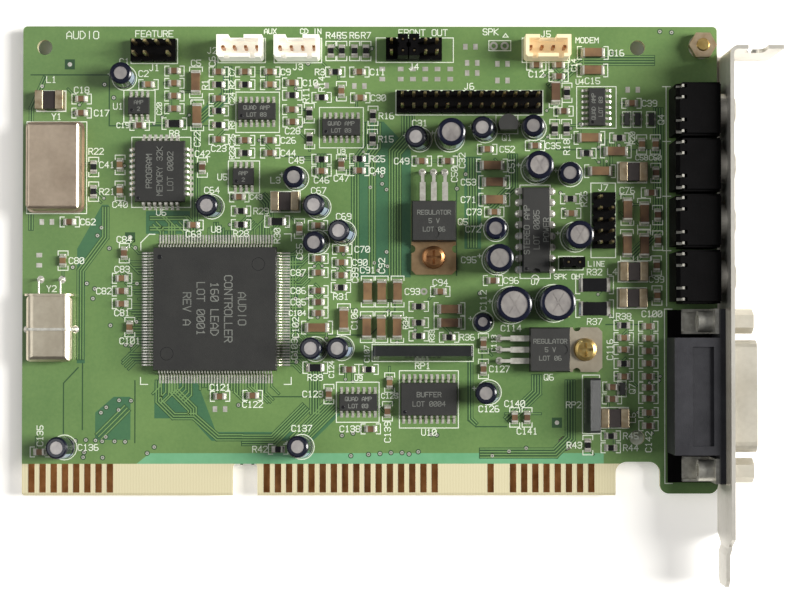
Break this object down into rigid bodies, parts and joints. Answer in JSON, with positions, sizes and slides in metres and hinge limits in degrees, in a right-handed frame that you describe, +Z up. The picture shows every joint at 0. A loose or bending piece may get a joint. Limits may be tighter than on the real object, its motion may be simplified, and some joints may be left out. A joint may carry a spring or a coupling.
{
  "type": "isa sound card",
  "caption": "Full-height expansion sound card with edge contacts, a steel bracket, four audio jacks, a game port and a populated board.",
  "frame": {"origin": "under the middle of the card's outline, on the surface it lies on", "axes": "+X along the board to the bracket, +Y away from the contact edge, +Z up from the solder side to the component side"},
  "size_m": [0.1704, 0.1262, 0.0184],
  "materials": {
    "solder_mask": "semi-gloss green mask over glass laminate",
    "gold_plate": "bright gold plating",
    "plated_steel": "satin nickel plate",
    "yellow_zinc": "yellow passivated zinc",
    "black_plastic": "fine moulded texture",
    "mould_compound": "matt epoxy moulding",
    "tinned_metal": "bright tin",
    "can_aluminium": "satin",
    "sleeve_film": "glossy shrunk film with a pale stripe",
    "rubber_bung": "matt",
    "drawn_can": "satin drawn metal",
    "ivory_plastic": "ivory nylon",
    "cream_plastic": "cream nylon",
    "resistor_coat": "dipped black coat",
    "ferrite": "dark grey-brown ferrite",
    "ceramic_tan": "tan ceramic",
    "glass_black": "black glass coat"
  },
  "bodies": {
    "root": {"board": "solder_mask", "contacts_front": "gold_plate", "contacts_back": "gold_plate", "bracket": "plated_steel", "mounting_screws": "yellow_zinc", "lock_washer": "plated_steel", "mounting_nuts": "yellow_zinc", "line_in_jack": "black_plastic", "microphone_jack": "black_plastic", "line_out_jack": "black_plastic", "speaker_jack": "black_plastic", "jack_bushes": "plated_steel", "jack_contacts": "tinned_metal", "game_port_housing": "black_plastic", "game_port_shell": "plated_steel", "game_port_contacts": "gold_plate", "game_port_locks": "tinned_metal", "game_port_jackscrews": "yellow_zinc", "controller_body": "mould_compound", "controller_leads": "tinned_metal", "memory_body": "mould_compound", "memory_leads": "tinned_metal", "small_ic_bodies": "mould_compound", "small_ic_leads": "tinned_metal", "logic_ic_bodies": "mould_compound", "logic_ic_leads": "tinned_metal", "wide_ic_body": "mould_compound", "wide_ic_leads": "tinned_metal", "amplifier_body": "mould_compound", "amplifier_pins": "tinned_metal", "regulator_cases": "mould_compound", "regulator_tabs": "tinned_metal", "regulator_leads": "tinned_metal", "capacitor_cans": "can_aluminium", "capacitor_sleeves": "sleeve_film", "capacitor_bungs": "rubber_bung", "capacitor_leads": "tinned_metal", "oscillator_can": "drawn_can", "oscillator_base": "drawn_can", "oscillator_pins": "tinned_metal", "crystal_can": "drawn_can", "crystal_leads": "tinned_metal", "crystal_strap": "tinned_metal", "cd_audio_connector": "ivory_plastic", "aux_connector": "ivory_plastic", "modem_connector": "cream_plastic", "audio_connector_pins": "gold_plate", "header_bodies": "black_plastic", "header_pins": "gold_plate", "jumper_caps": "black_plastic", "resistor_networks": "resistor_coat", "network_pins": "tinned_metal", "inductor_cores": "ferrite", "inductor_terminals": "tinned_metal", "chip_capacitors": "ceramic_tan", "chip_resistors": "glass_black", "chip_terminals": "tinned_metal", "transistor_bodies": "mould_compound", "transistor_leads": "tinned_metal"}
  },
  "joints": []
}
